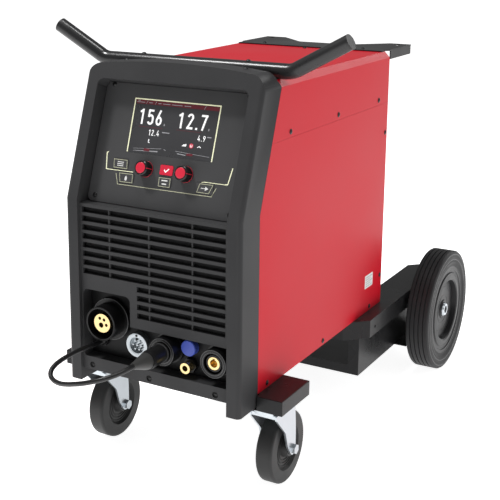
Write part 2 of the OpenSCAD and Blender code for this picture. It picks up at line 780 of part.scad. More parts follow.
module mains_gland() from_front() color(steel_black) difference() {
    union() {
        rod_y(10, mains_x, [562, body_len + 6], mains_z);
        hex_y(27, mains_x, [body_len + gap, body_len + 7], mains_z);
        turn_y([[body_len + 6, 0], [body_len + 6, 12], [body_len + 20, 11], [body_len + 27, 8],
                [body_len + 27, 0]], mains_x, mains_z);
    }
    rod_y(5, mains_x, [550, 620], mains_z);
}

// --- Handle and bottle bracket --------------------------------------------------------------

module tube_ring(less) difference() {
    circle(handle_r - less);
    circle(handle_r - 2 + less);
}

// One bend of the handle. Its wall is a little thinner, and the straight lengths run into it.
module handle_bend() rotate([90, 0, 0]) rotate([0, 0, -90])
    rotate_extrude(angle = handle_rise, $fn = 96) translate([handle_bend_r, 0]) tube_ring(0.15);

module handle_bar() from_front() color(steel_black) difference() {
    straight = handle_kink_x - handle_arc;
    union() {
        translate([-straight - 1, handle_y, handle_z]) rotate([0, 90, 0])
            linear_extrude(2 * straight + 2) tube_ring(0);
        for (a = [0, 180]) translate([0, handle_y, 0]) rotate([0, 0, a]) {
            translate([straight, 0, handle_z + handle_bend_r]) handle_bend();
            translate([handle_kink_x, 0, handle_z]) rotate([0, 90 - handle_rise, 0])
                translate([0, 0, handle_arc - 1]) linear_extrude(horn_len + 1) tube_ring(0);
        }
    }
    for (x = handle_screws) rod_z(screw_r + gap, x, handle_y, [600, 800]);
}

module handle_end_caps() from_front() color(rubber_black) mirror_x()
    translate([handle_kink_x, handle_y, handle_z]) rotate([0, 90 - handle_rise, 0]) {
        translate([0, 0, handle_arc + horn_len + 0.1]) cylinder(r = handle_r, h = 3);
        translate([0, 0, handle_arc + horn_len - 14]) cylinder(r = handle_r - 2 - 0.1, h = 15);
    }

module bottle_bracket() from_front() color(steel_black) difference() {
    union() {
        translate([0, 0, bracket_z - 2]) linear_extrude(2) difference() {
            polygon([[-154, bracket_y[0]], [154, bracket_y[0]], [154, 582], [bracket_half, 590],
                     [bracket_half, bracket_y[1]], [-bracket_half, bracket_y[1]], [-bracket_half, 590],
                     [-154, 582]]);
            polygon([[-55, 640], [55, 640], [118, 702], [-118, 702]]);
        }
        mirror_x() box([bracket_half - 2, bracket_half], [592, 699], [bracket_z - 18, bracket_z - 1]);
        box([-150, 150], [bracket_tab_y - 2, bracket_tab_y], [640, bracket_z - 1]);
    }
    mirror_x() {
        translate([0, 0, bracket_z - 10]) linear_extrude(20) rounded([136, 144], [664, 692], 3.9);
        rod_y(screw_r + gap, 120, [500, 600], 655);
        rod_z(screw_r + gap, 106, 586, [600, 700]);
    }
}

// --- Front casters --------------------------------------------------------------------------

// Outline of the beam: it steps round the posts of the moulded front. Shrunk by t.
module beam_outline(t) polygon([
    [t - beam_x, beam_y[0] + t], [-hw - 2 - t, beam_y[0] + t], [-hw - 2 - t, 62 + t], [hw + 2 + t, 62 + t],
    [hw + 2 + t, beam_y[0] + t], [beam_x - t, beam_y[0] + t], [beam_x - t, beam_y[1] - t],
    [t - beam_x, beam_y[1] - t]
]);

module caster_beam() from_front() color(steel_black) difference() {
    translate([0, 0, beam_low]) linear_extrude(25) beam_outline(0);
    translate([0, 0, beam_low - 1]) linear_extrude(24) beam_outline(2);
}

// Top plate, ball race and kingpin of each caster, welded under the beam.
module caster_plates() from_front() color(zinc) mirror_x() {
    box([caster_x - 40, caster_x + 40], [caster_y - 34, caster_y + 42], [base_z - 5, base_z - 2.1]);
    translate([caster_x, caster_y, base_z - 21]) cylinder(r1 = 26, r2 = 33, h = 17);
    rod_z(kingpin_r, caster_x, caster_y, [base_z - 46, base_z - 20]);
    rod_z(11, caster_x, caster_y, [base_z - 51, base_z - 45]);
}

// Swivel fork with its axle bolt; side is -1 on the left and 1 on the right.
module caster_fork(side) from_front() color(zinc) translate([side * caster_x, caster_y, 0]) {
    crown_z = [base_z - 44, base_z - 21.5];
    leg = [[-30, crown_z[0] + 6], [-28, crown_z[0] - 2], [4, 102], [13, 74],
           [caster_trail - 10, caster_r - 5], [caster_trail + 8, caster_r - 5], [caster_trail + 8, 96],
           [38, crown_z[0] + 6]];
    difference() {
        union() {
            translate([0, 0, crown_z[0] + 4]) cylinder(r1 = 32, r2 = 36, h = crown_z[1] - crown_z[0] - 4);
            box([-fork_out, fork_out], [-28, 36], [crown_z[0], crown_z[0] + 6]);
            for (x = [-fork_out, fork_in]) slab_x([x, x + fork_out - fork_in]) {
                polygon(leg);
                translate([caster_trail - 1, caster_r]) circle(10);
            }
        }
        rod_z(kingpin_r + fit, 0, 0, [0, far]);
        rod_z(30, 0, 0, [crown_z[1] - 1.5, far]);
    }
    rod_x(caster_axle_r, [-fork_out - 3, fork_out + 3], caster_trail, caster_r);
    for (x = [[-fork_out - 6, -fork_out], [fork_out, fork_out + 6]]) hex_x(15, x, caster_trail, caster_r);
}
module caster_fork_left() caster_fork(-1);
module caster_fork_right() caster_fork(1);

// Rubber wheel: a flat tread between round shoulders, dished sides and a long hub.
module caster_wheel(side) from_front() color(rubber_black) translate([side * caster_x, caster_y, 0]) {
    w = caster_wheel_w / 2;
    s = 5;
    r = caster_r;
    bore = caster_axle_r + fit;
    half = [[w, 40], for (a = [0:15:90]) [w - s + s * cos(a), r - s + s * sin(a)]];
    turn_x(concat(
        [[-20.5, bore], [-20.5, 14], [-w + 5, 18], [-w + 5, 36]],
        [for (i = [0:len(half) - 1]) [-half[i][0], half[i][1]]],
        [for (i = [len(half) - 1:-1:0]) half[i]],
        [[w - 5, 36], [w - 5, 18], [20.5, 14], [20.5, bore]]
    ), caster_trail, caster_r);
}
module caster_wheel_left() caster_wheel(-1);
module caster_wheel_right() caster_wheel(1);

// --- Bottle carrier and rear wheels ---------------------------------------------------------

// Deck seen from above: cut corners in front, two arms behind. Shrunk by t at its outer edges.
module deck_outline(t) {
    k = t * (sqrt(2) - 1);
    arm = bottle_gap / 2;
    polygon([
        [-152 + k, deck_front + t], [152 - k, deck_front + t], [deck_half - t, deck_front + 39 + k],
        [deck_half - t, deck_rear], [arm + 33, deck_rear], [arm, deck_rear - 33], [arm, 600],
        [-arm, 600], [-arm, deck_rear - 33], [-arm - 33, deck_rear], [t - deck_half, deck_rear],
        [t - deck_half, deck_front + 39 + k]
    ]);
}

module bottle_carrier() from_front() color(steel_black) difference() {
    union() {
        translate([0, 0, base_z - deck_t]) linear_extrude(deck_t) deck_outline(0);
        difference() {
            translate([0, 0, flange_low]) linear_extrude(base_z - flange_low - 1) deck_outline(0);
            translate([0, 0, flange_low - 1]) linear_extrude(60) {
                deck_outline(deck_t);
                translate([-160, 590]) square([320, 300]);
                translate([-deck_half + deck_t, 600]) square([2 * (deck_half - deck_t), 300]);
            }
        }
    }
    rod_x(3, [-far, far], 489, 163);
}

// Tray the bottle stands in: floor, side walls, folded lips and the plates that hold the axles.
module bottle_tray() from_front() color(steel_black) difference() {
    union() {
        box([-tray_half, tray_half], [tray_front, deck_rear], [tray_z - 2, tray_z]);
        box([-tray_half, tray_half], [tray_front, tray_front + 2], [tray_z - 2, tray_z + 16.5]);
        box([-tray_half, tray_half], [deck_rear - 2, deck_rear], [tray_z - 2, tray_z + 14]);
        mirror_x() {
            box([tray_half - 2, tray_half], [tray_front, deck_rear], [tray_z - 2, base_z - deck_t - 0.1]);
            box([tray_half - 22, tray_half], [tray_front, tray_front + 2],
                [tray_z - 2, base_z - deck_t - 0.1]);
            box([tray_half - 1, 188.8], [672, 832], [tray_z - 2, tray_z]);
            slab_x([186.8, 188.8]) polygon([
                [704, tray_z - 2], [802, tray_z - 2], [802, 100], [784, base_z - deck_t - 0.1],
                [722, base_z - deck_t - 0.1], [704, 100]
            ]);
        }
    }
    rod_x(axle_r + 0.2, [-far, far], axle_y, axle_z);
    for (x = [-72, 0, 72], y = [514, 720]) translate([x, y, 0]) cylinder(h = 80, r = 4);
}

module rear_axles() from_front() color(zinc) mirror_x() {
    rod_x(axle_r, [150, tyre_out - 8], axle_y, axle_z);
    hex_x(27, [151, tray_half - 2.1], axle_y, axle_z);
    rod_x(14, [189, tyre_in + 4.5], axle_y, axle_z);
    turn_x([[tyre_out - 9.5, 0], [tyre_out - 9.5, 14.5], [tyre_out - 8, 14.5], [tyre_out - 5, 12],
            [tyre_out - 5, 8], [tyre_out - 7, 8], [tyre_out - 7, 0]], axle_y, axle_z);
}

// Solid rubber tyre with four grooves round its tread.
module tyre(side) from_front() color(rubber_black) {
    mid = (tyre_in + tyre_out) / 2;
    grooves = [-13.5, -4.5, 4.5, 13.5];
    tread = [for (g = grooves) each [[g - 1.2, wheel_r], [g - 0.6, wheel_r - 2.5], [g + 0.6, wheel_r - 2.5],
             [g + 1.2, wheel_r]]];
    shoulder = [[20, wheel_r], [22.5, wheel_r - 1.5], [24, wheel_r - 6], [24, 102], [22, 96], [22, rim_r]];
    profile = concat(
        [for (i = [len(shoulder) - 1:-1:0]) [-shoulder[i][0], shoulder[i][1]]], tread, shoulder
    );
    turn_x([for (p = profile) [side * (mid + p[0]), p[1]]], axle_y, axle_z);
}
module tyre_left() tyre(-1);
module tyre_right() tyre(1);

// Plastic wheel centre: a broad rim, a sunk disc and a hub that turns on the axle.
module hub(side) from_front() color(steel_black) {
    r = rim_r - 0.1;
    turn_x([for (p = [
        [tyre_in + 5, axle_r + fit], [tyre_in + 5, 22], [tyre_in + 26, 22], [tyre_in + 26, 60],
        [tyre_in + 4, 64],
        [tyre_in + 4, r], [tyre_out - 2.5, r], [tyre_out - 2.5, 86], [tyre_out - 4, 84], [tyre_out - 4, 80],
        [tyre_out - 2.5, 78], [tyre_out - 1.5, 66], [tyre_out - 3, 63], [tyre_out - 12, 61],
        [tyre_out - 12, 20], [tyre_out - 10, 18], [tyre_out - 10, axle_r + fit]
    ]) [side * p[0], p[1]]], axle_y, axle_z);
}
module hub_left() hub(-1);
module hub_right() hub(1);

// --- Screws ---------------------------------------------------------------------------------

// A low round-headed screw along +Z, its head's seat at z = 0.
module screw(shank) {
    intersection() {
        translate([0, 0, -3]) sphere(r = 5.2);
        cylinder(r = head_r, h = 5);
    }
    translate([0, 0, -shank]) cylinder(r = screw_r, h = shank + 0.5);
}

module casing_screws() from_front() color(steel_black) {
    mirror_x() for (y = seam_screws) translate([hw + 0.05, y, seam_z + 9.5]) rotate([0, 90, 0]) screw(8);
    for (y = base_screws) translate([hw + 0.05, y, base_z + 8]) rotate([0, 90, 0]) screw(8);
    for (z = rear_screws) translate([hw + 0.05, body_len - 9, z]) rotate([0, 90, 0]) screw(6);
    for (x = trim_screws) translate([x, grille_y + 2.95, 190]) rotate([90, 0, 0]) screw(8);
    mirror_x() translate([crown_screw[0], crown_screw[1], bezel_top - crown_r
        + sqrt(crown_r * crown_r - crown_screw[0] * crown_screw[0]) + 0.42]) screw(8);
    for (p = panel_screws) on_lean() translate([p[0], panel_recess - 0.05, p[1]]) rotate([90, 0, 0])
        screw(8);
    for (p = top_screws) translate([p[0], p[1], p[2] + 0.05]) screw(8);
    for (x = handle_screws) translate([x, handle_y, handle_z + handle_r + 0.05]) screw(32);
    mirror_x() translate([120, bracket_tab_y + 0.05, 655]) rotate([-90, 0, 0]) screw(8);
}

front_bezel();
louvre_grille();
socket_panel();
control_panel();
display_screen();
knob_left();
knob_right();
set_button();
mode_button();
menu_button();
gas_test_button();
wire_feed_button();
torch_socket();
torch_adaptor();
remote_socket();
power_sockets();
socket_contacts();
lead_gland();
polarity_lead();
polarity_plug();
gas_fittings();
gas_outlet_nut();
coupling_cap();
top_cover();
right_side_panel();
wire_door();
door_hinges();
door_latch();
rear_panel();
base_pan();
centre_partition();
wire_spool();
spool_hub();
feed_plate();
drive_roll();
pressure_arm();
feed_motor();
heat_sink();
power_board();
fan_frame();
fan_rotor();
main_switch();
mains_gland();
handle_bar();
handle_end_caps();
bottle_bracket();
caster_beam();
caster_plates();
caster_fork_left();
caster_fork_right();
caster_wheel_left();
caster_wheel_right();
bottle_carrier();
bottle_tray();
rear_axles();
tyre_left();
tyre_right();
hub_left();
hub_right();
casing_screws();
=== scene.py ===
"""The MIG welder on its cart: camera, light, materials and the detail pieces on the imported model.

Lengths are in millimetres unless a name or a call says otherwise.
"""

import math

import bmesh
import bpy
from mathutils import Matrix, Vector


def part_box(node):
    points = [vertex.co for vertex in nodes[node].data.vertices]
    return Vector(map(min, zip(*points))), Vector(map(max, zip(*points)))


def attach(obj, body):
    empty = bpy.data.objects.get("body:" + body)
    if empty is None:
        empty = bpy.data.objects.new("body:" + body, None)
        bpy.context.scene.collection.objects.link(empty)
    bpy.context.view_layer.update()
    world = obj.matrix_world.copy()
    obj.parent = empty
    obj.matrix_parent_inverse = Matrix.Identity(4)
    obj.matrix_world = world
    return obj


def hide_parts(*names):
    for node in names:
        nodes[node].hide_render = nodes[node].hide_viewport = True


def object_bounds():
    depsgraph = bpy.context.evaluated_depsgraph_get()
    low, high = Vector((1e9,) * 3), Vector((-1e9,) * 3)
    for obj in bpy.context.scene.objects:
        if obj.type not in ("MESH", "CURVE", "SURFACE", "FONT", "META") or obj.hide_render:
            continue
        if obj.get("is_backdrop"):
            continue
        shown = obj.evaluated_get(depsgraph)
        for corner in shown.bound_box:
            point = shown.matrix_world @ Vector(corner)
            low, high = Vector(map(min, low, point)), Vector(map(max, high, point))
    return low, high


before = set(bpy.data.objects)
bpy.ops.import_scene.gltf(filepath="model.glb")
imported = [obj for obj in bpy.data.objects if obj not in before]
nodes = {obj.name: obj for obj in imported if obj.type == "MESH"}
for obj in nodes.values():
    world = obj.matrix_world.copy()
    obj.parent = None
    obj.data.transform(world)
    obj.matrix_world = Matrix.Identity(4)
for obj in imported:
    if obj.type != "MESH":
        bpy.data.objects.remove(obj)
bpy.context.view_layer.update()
scene = bpy.context.scene

FRONT_Y = -0.4355           # the moulded front's lower face in the model's frame, in metres
KINK_Z = 477                # height at which the front starts to lean back
LEAN = math.radians(19.2)   # lean of the control panel
SOCKET_FACE_Y = 18          # face of the socket panel
TORCH = (-94, 272)          # x and z of the torch socket
REMOTE = (-39, 237.5)       # x and z of the round connector
POWER_X = (21, 117)
POWER_Z = 244.5
PLUG_TILT = math.radians(7)
SIDE_X = 165                # outer face of the red sheets
REAR_AXLE = (752.5, 125)    # y and z of the rear wheels' axle
SCREW_ROW_Z = 190           # height of the low screws in the sheets and the front


def at(x, y, z):
    """A point given in millimetres, with y counted from the moulded front."""
    return Vector((x / 1000, y / 1000 + FRONT_Y, z / 1000))


def on_panel(x, s, depth):
    """A point of the leaning panel: x across, s up its slope, depth behind its front edge."""
    return at(x, depth * math.cos(LEAN) + s * math.sin(LEAN),
              KINK_Z - depth * math.sin(LEAN) + s * math.cos(LEAN))


FORWARD = Vector((0, -1, 0))
PANEL_OUT = Vector((0, -math.cos(LEAN), math.sin(LEAN)))
PLUG_OUT = Vector((0, -math.cos(PLUG_TILT), math.sin(PLUG_TILT)))

# --- Camera ---------------------------------------------------------------------------------

AZIMUTH, ELEVATION = math.radians(31.05), math.radians(13.46)
camera_back = Vector((math.sin(AZIMUTH) * math.cos(ELEVATION),
                      -math.cos(AZIMUTH) * math.cos(ELEVATION), math.sin(ELEVATION)))
camera = bpy.data.objects.new("camera", bpy.data.cameras.new("camera"))
scene.collection.objects.link(camera)
camera.location = at(923.8, -1379.1, 914.8)
camera.rotation_mode = "QUATERNION"
camera.rotation_quaternion = (-camera_back).to_track_quat("-Z", "Y")
camera.data.lens = 78.83
camera.data.sensor_width = 36
camera.data.shift_x = 0.1
camera.data.shift_y = -0.13
camera.data.clip_end = 100
scene.camera = camera

# --- Mesh helpers ---------------------------------------------------------------------------


def finish_piece(name, mesh, material, body, smooth=None):
    """Link a mesh as a piece that rides on a body; edges sharper than smooth degrees stay sharp."""
    piece = bpy.data.objects.new(name, mesh)
    scene.collection.objects.link(piece)
    mesh.materials.append(material)
    if smooth is not None:
        for face in mesh.polygons:
            face.use_smooth = True
        mesh.set_sharp_from_angle(angle=math.radians(smooth))
    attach(piece, body)
    return piece


def mesh_from(name, vertices, faces):
    """A mesh whose faces all look outwards."""
    mesh = bpy.data.meshes.new(name)
    mesh.from_pydata([tuple(v) for v in vertices], [], faces)
    bm = bmesh.new()
    bm.from_mesh(mesh)
    bmesh.ops.recalc_face_normals(bm, faces=bm.faces)
    bm.to_mesh(mesh)
    bm.free()
    return mesh


def prism_faces(first, count):
    """The faces of a prism: count points of one end from first on, then those of the other."""
    faces = [list(range(first, first + count)),
             list(range(first + count, first + 2 * count))]
    for i in range(count):
        j = (i + 1) % count
        faces.append([first + i, first + j, first + count + j, first + count + i])
    return faces


def panel_plates(name, outlines, depth, thick, material, body="casing"):
    """Thin flat plates on the leaning panel, one for each outline of (x, s) points."""
    vertices, faces = [], []
    for outline in outlines:
        faces += prism_faces(len(vertices), len(outline))
        vertices += [on_panel(x, s, depth) for x, s in outline]
        vertices += [on_panel(x, s, depth - thick) for x, s in outline]
    return finish_piece(name, mesh_from(name, vertices, faces), material, body)


def line_outlines(points, width, closed=False):
    """The quads of a line of that width through the points, mitred where it turns."""
    min_cosine = 0.3        # limits how far a mitre reaches out
    count = len(points)
    sides = []
    for i, p in enumerate(points):
        a = points[(i - 1) % count] if closed or i > 0 else None
        b = points[(i + 1) % count] if closed or i < count - 1 else None
        directions = []
        for u, v in ((a, p), (p, b)):
            if u is not None and v is not None:
                d = Vector((v[0] - u[0], v[1] - u[1])).normalized()
                directions.append(Vector((-d.y, d.x)))
        normal = sum(directions, Vector((0, 0))).normalized()
        reach = width / 2 / max(min_cosine, normal.dot(directions[0]))
        sides.append((Vector(p) + normal * reach, Vector(p) - normal * reach))
    quads = []
    for i in range(count if closed else count - 1):
        (l0, r0), (l1, r1) = sides[i], sides[(i + 1) % count]
        quads.append([tuple(l0), tuple(r0), tuple(r1), tuple(l1)])
    return quads


def rectangle(x, s, w, h):
    return [(x - w / 2, s - h / 2), (x + w / 2, s - h / 2),
            (x + w / 2, s + h / 2), (x - w / 2, s + h / 2)]


def rounded(x, s, w, h, r):
    """A rectangle with round corners."""
    steps = 4
    right, left, top, low = x + w / 2 - r, x - w / 2 + r, s + h / 2 - r, s - h / 2 + r
    points = []
    for cx, cy, start in ((right, low, -90), (right, top, 0), (left, top, 90), (left, low, 180)):
        for k in range(steps + 1):
            a = math.radians(start + 90 * k / steps)
            points.append((cx + r * math.cos(a), cy + r * math.sin(a)))
    return points


def lathe(name, profile, origin, axis, material, body, steps, smooth=35, ring=False):
    """A turned piece from (distance along the axis, radius) points; a ring has an open middle."""
    axis = axis.normalized()
    side = axis.orthogonal().normalized()
    other = axis.cross(side)
    vertices, faces = [], []
    for d, r in profile:
        for k in range(steps):
            a = 2 * math.pi * k / steps
            spoke = side * math.cos(a) + other * math.sin(a)
            vertices.append(origin + axis * d / 1000 + spoke * r / 1000)
    last = (len(profile) - 1) * steps
    for i in range(len(profile) - 1):
        for k in range(steps):
            j = (k + 1) % steps
            faces.append([i * steps + k, i * steps + j, (i + 1) * steps + j, (i + 1) * steps + k])
    if ring:
        faces += [[last + k, last + (k + 1) % steps, (k + 1) % steps, k] for k in range(steps)]
    else:
        faces.append(list(range(steps)))
        faces.append(list(range(last, last + steps)))
    return finish_piece(name, mesh_from(name, vertices, faces), material, body, smooth)


def thin_ring(name, origin, axis, r_out, r_in, rise, material, body, steps=96):
    """A low ring with rounded shoulders that stands on a face."""
    sunk = -0.3
    soft = (r_out - r_in) * 0.3
    shoulder = rise * 0.6
    profile = [(sunk, r_out), (shoulder, r_out), (rise, r_out - soft), (rise, r_in + soft),
               (shoulder, r_in), (sunk, r_in)]
    return lathe(name, profile, origin, axis, material, body, steps, ring=True)


# --- Materials ------------------------------------------------------------------------------


def linear(c):
    """A colour value of 0 to 255 as linear light."""
    c = c / 255
    return c / 12.92 if c <= 0.04045 else ((c + 0.055) / 1.055) ** 2.4


def surface(name, rgb, rough, metallic=0.0, vary=0.08, patch=9.0, grain=900.0, bump=0.12,
            rough_vary=0.06, ior=1.5, stretch=None, glow=0.0):
    """A procedural material: slow colour patches, fine grain in relief and uneven roughness."""
    noise_low, noise_high = 0.3, 0.7
    material = bpy.data.materials.new(name)
    material.use_nodes = True
    tree = material.node_tree
    shader = tree.nodes["Principled BSDF"]
    colour = tuple(linear(c) for c in rgb)
    shader.inputs["Metallic"].default_value = metallic
    shader.inputs["Roughness"].default_value = rough
    shader.inputs["IOR"].default_value = ior
    place = tree.nodes.new("ShaderNodeTexCoord")
    mapping = tree.nodes.new("ShaderNodeMapping")
    if stretch:
        mapping.inputs["Scale"].default_value = stretch
    tree.links.new(place.outputs["Object"], mapping.inputs["Vector"])
    slow = tree.nodes.new("ShaderNodeTexNoise")
    slow.inputs["Scale"].default_value = patch
    slow.inputs["Detail"].default_value = 5
    tree.links.new(mapping.outputs["Vector"], slow.inputs["Vector"])
    ramp = tree.nodes.new("ShaderNodeValToRGB")
    dark, light = ramp.color_ramp.elements
    dark.position, light.position = noise_low, noise_high
    dark.color = (*[max(0, c * (1 - vary)) for c in colour], 1)
    light.color = (*[min(1, c * (1 + vary) + 0.002) for c in colour], 1)
    tree.links.new(slow.outputs["Fac"], ramp.inputs["Fac"])
    tree.links.new(ramp.outputs["Color"], shader.inputs["Base Color"])
    spread = tree.nodes.new("ShaderNodeMapRange")
    spread.inputs["From Min"].default_value = noise_low
    spread.inputs["From Max"].default_value = noise_high
    spread.inputs["To Min"].default_value = max(0.02, rough - rough_vary)
    spread.inputs["To Max"].default_value = min(1, rough + rough_vary)
    tree.links.new(slow.outputs["Fac"], spread.inputs["Value"])
    tree.links.new(spread.outputs["Result"], shader.inputs["Roughness"])
    if bump:
        fine = tree.nodes.new("ShaderNodeTexNoise")
        fine.inputs["Scale"].default_value = grain
        fine.inputs["Detail"].default_value = 3
        tree.links.new(mapping.outputs["Vector"], fine.inputs["Vector"])
        relief = tree.nodes.new("ShaderNodeBump")
        relief.inputs["Strength"].default_value = bump
        relief.inputs["Distance"].default_value = 0.0004
        tree.links.new(fine.outputs["Fac"], relief.inputs["Height"])
        tree.links.new(relief.outputs["Normal"], shader.inputs["Normal"])
    if glow:
        shader.inputs["Emission Color"].default_value = (*colour, 1)
        shader.inputs["Emission Strength"].default_value = glow
    return material


# Plastics, paints and rubber
bezel_plastic = surface("bezel_plastic", (62, 62, 63), 0.42, vary=0.05, grain=1400, ior=1.2)
panel_film = surface("panel_film", (72, 72, 73), 0.4, vary=0.04, grain=2200, bump=0.05, ior=1.35)
recess_paint = surface("recess_paint", (22, 22, 23), 0.4, vary=0.05, grain=1400, ior=1.25)
knob_plastic = surface("knob_plastic", (20, 20, 21), 0.28, grain=1500, bump=0.08)
black_plastic = surface("black_plastic", (14, 14, 15), 0.34, grain=1200, bump=0.1, ior=1.38)
black_paint = surface("black_paint", (34, 34, 35), 0.32, vary=0.06, grain=1100, ior=1.28)
tube_paint = surface("tube_paint", (34, 34, 35), 0.26, vary=0.06, grain=1200, bump=0.06)
red_paint = surface("red_paint", (206, 18, 38), 0.34, vary=0.015, patch=3, bump=0.0, ior=1.2)
red_plastic = surface("red_plastic", (222, 40, 66), 0.35, vary=0.04, bump=0.05)
blue_plastic = surface("blue_plastic", (70, 90, 190), 0.42, vary=0.05, bump=0.08)
cable_rubber = surface("cable_rubber", (22, 22, 23), 0.34, bump=0.1)
sleeve_rubber = surface("sleeve_rubber", (62, 62, 61), 0.42, vary=0.06, bump=0.1)
tyre_rubber = surface("tyre_rubber", (48, 48, 49), 0.5, patch=22, grain=800, bump=0.2, ior=1.25)
hub_plastic = surface("hub_plastic", (28, 28, 30), 0.4, vary=0.06, grain=1000, bump=0.15, ior=1.4)
caster_rubber = surface("caster_rubber", (44, 44, 44), 0.5, patch=25, grain=800, bump=0.15,
                        ior=1.4)
# A near-black sheet behind the louvres: painted shade of the casing's inside.
interior_shade_sheet = surface("interior_shade_sheet", (26, 26, 27), 0.9, vary=0.3, patch=300, grain=700, bump=0.6)
# Grey lines on black rims and rubber rings: painted highlights on their edges.
edge_highlight_grey = surface("edge_highlight_grey", (74, 74, 75), 0.35, vary=0.05, bump=0.04)
# Near black that stands for the shade in holes, sunk ends and grooves: painted shade.
shade_black = surface("shade_black", (8, 8, 8), 0.7, vary=0.1, bump=0.05)
board_green = surface("board_green", (28, 88, 52), 0.4, vary=0.15, patch=80, bump=0.1)
# Metals
zinc = surface("zinc", (196, 202, 207), 0.3, metallic=0.85, vary=0.03, patch=30, bump=0.0,
               rough_vary=0.03)
silver = surface("silver", (180, 186, 190), 0.3, metallic=0.8, vary=0.12, patch=60, bump=0.05)
brass = surface("brass", (232, 206, 150), 0.18, metallic=0.95, vary=0.06, bump=0.04)
dark_screw = surface("dark_screw", (14, 14, 15), 0.35, metallic=0.2, bump=0.0)
galvanised = surface("galvanised", (170, 172, 174), 0.4, metallic=0.7, vary=0.12, patch=60,
                     bump=0.1)
aluminium = surface("aluminium", (188, 190, 192), 0.35, metallic=0.8, vary=0.06,
                    stretch=(1, 0.05, 1))
copper_wire = surface("copper_wire", (196, 120, 72), 0.3, metallic=0.8, vary=0.1, patch=50,
                      bump=0.1)
# Prints and the display
# The printed lines glow a little: painted light that keeps them bright.
pale_line = surface("pale_line", (255, 255, 214), 0.6, vary=0.02, bump=0.0, glow=0.12)
thin_line = surface("thin_line", (196, 196, 166), 0.6, vary=0.02, bump=0.0, glow=0.05)
label_white = surface("label_white", (238, 238, 236), 0.45, vary=0.02, bump=0.04)
label_ink = surface("label_ink", (120, 120, 122), 0.5, vary=0.05, bump=0.0)
screen_glass = surface("screen_glass", (62, 62, 64), 0.3, vary=0.05, patch=14, bump=0.0)
screen_red = surface("screen_red", (110, 38, 48), 0.4, vary=0.05, bump=0.0)
screen_white = surface("screen_white", (250, 250, 250), 0.5, vary=0.01, bump=0.0, glow=0.25)
screen_pale = surface("screen_pale", (168, 168, 172), 0.5, vary=0.05, bump=0.0)
signal_red = surface("signal_red", (214, 62, 84), 0.4, vary=0.04, bump=0.0, glow=0.1)
floor_paint = surface("floor_paint", (250, 250, 250), 0.8, vary=0.003, bump=0.0, glow=0.94)

NODE_MATERIALS = {
    bezel_plastic: ("front_bezel", "louvre_grille"),
    recess_paint: ("socket_panel",),
    panel_film: ("control_panel", "mode_button", "menu_button", "gas_test_button",
                 "wire_feed_button"),
    screen_glass: ("display_screen",),
    knob_plastic: ("knob_left", "knob_right"),
    red_plastic: ("set_button", "main_switch"),
    black_plastic: ("torch_socket", "power_sockets", "lead_gland", "gas_outlet_nut",
                    "door_latch", "wire_spool", "spool_hub", "pressure_arm", "fan_frame",
                    "fan_rotor", "mains_gland"),
    brass: ("torch_adaptor", "socket_contacts", "gas_fittings"),
    silver: ("remote_socket",),
    cable_rubber: ("polarity_plug", "handle_end_caps"),
    blue_plastic: ("coupling_cap",),
    red_paint: ("top_cover", "right_side_panel", "wire_door"),
    black_paint: ("door_hinges", "rear_panel", "base_pan", "bottle_bracket", "caster_beam",
                  "bottle_carrier", "bottle_tray"),
    galvanised: ("centre_partition",),
    aluminium: ("feed_plate", "heat_sink"),
    board_green: ("power_board",),
    tube_paint: ("handle_bar",),
    zinc: ("drive_roll", "feed_motor", "caster_plates", "caster_fork_left",
           "caster_fork_right", "rear_axles"),
    caster_rubber: ("caster_wheel_left", "caster_wheel_right"),
    tyre_rubber: ("tyre_left", "tyre_right"),
    hub_plastic: ("hub_left", "hub_right"),
    dark_screw: ("casing_screws",),
}
for material, names in NODE_MATERIALS.items():
    for name in names:
        nodes[name].data.materials.clear()
        nodes[name].data.materials.append(material)

# Moulded and folded edges are slightly round, so they catch a thin line of light.
EDGE_WIDTHS = {"front_bezel": 3.2, "bottle_carrier": 1.3, "bottle_tray": 1.0,
               "caster_beam": 1.3, "bottle_bracket": 0.6, "louvre_grille": 0.4}
for name, width in EDGE_WIDTHS.items():
    modifiers = nodes[name].modifiers
    weld = modifiers.new("weld", "WELD")
    weld.merge_threshold = 0.00001
    flat = modifiers.new("flat_faces", "DECIMATE")
    flat.decimate_type = "DISSOLVE"
    flat.angle_limit = math.radians(0.5)
    bevel = modifiers.new("edges", "BEVEL")
    bevel.width = width / 1000
    bevel.segments = 3
    bevel.limit_method = "ANGLE"
    bevel.angle_limit = math.radians(30)
    even = modifiers.new("even_normals", "WEIGHTED_NORMAL")
    even.weight = 100

# --- Polarity lead --------------------------------------------------------------------------

# From its gland forward, down in an arc and up into the plug's sleeve.
LEAD = [(-112, 17, 229.8), (-112, 6, 230.2), (-112, -8, 231.4), (-113.8, -28, 232.5),
        (-116.8, -46, 231.8), (-119.2, -63, 230.3), (-120.8, -80, 228.2), (-121.1, -95, 225),
        (-119.5, -106, 220.8), (-115, -113.5, 216.7), (-106, -119.5, 213.8),
        (-90.5, -125.5, 213.5), (-72, -130, 217), (-53.5, -133, 222.5), (-35.5, -134, 228.2),
        (-18, -131, 234), (-3, -124, 238.8), (6.5, -115, 241.9), (13.5, -104.5, 244.6),
        (18.6, -93, 247.2), (21, -79.72, 249.13)]
curve = bpy.data.curves.new("polarity_lead_cable", "CURVE")
curve.dimensions = "3D"
spline = curve.splines.new("BEZIER")
spline.bezier_points.add(len(LEAD) - 1)
for point, where in zip(spline.bezier_points, LEAD):
    point.co = at(*where)
    point.handle_left_type = point.handle_right_type = "AUTO"
curve.bevel_depth = 0.004
curve.bevel_resolution = 6
curve.resolution_u = 8
curve.use_fill_caps = True
lead = bpy.data.objects.new("polarity_lead_cable", curve)
scene.collection.objects.link(lead)
curve.materials.append(cable_rubber)
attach(lead, "casing")
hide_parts("polarity_lead")

# --- Display --------------------------------------------------------------------------------

GLASS = 26.25          # depth just in front of the display's face


def on_glass(name, outlines, lift, thick, material):
    """Plates on the display, lift in front of its face."""
    return panel_plates(name, outlines, GLASS - lift, thick, material)


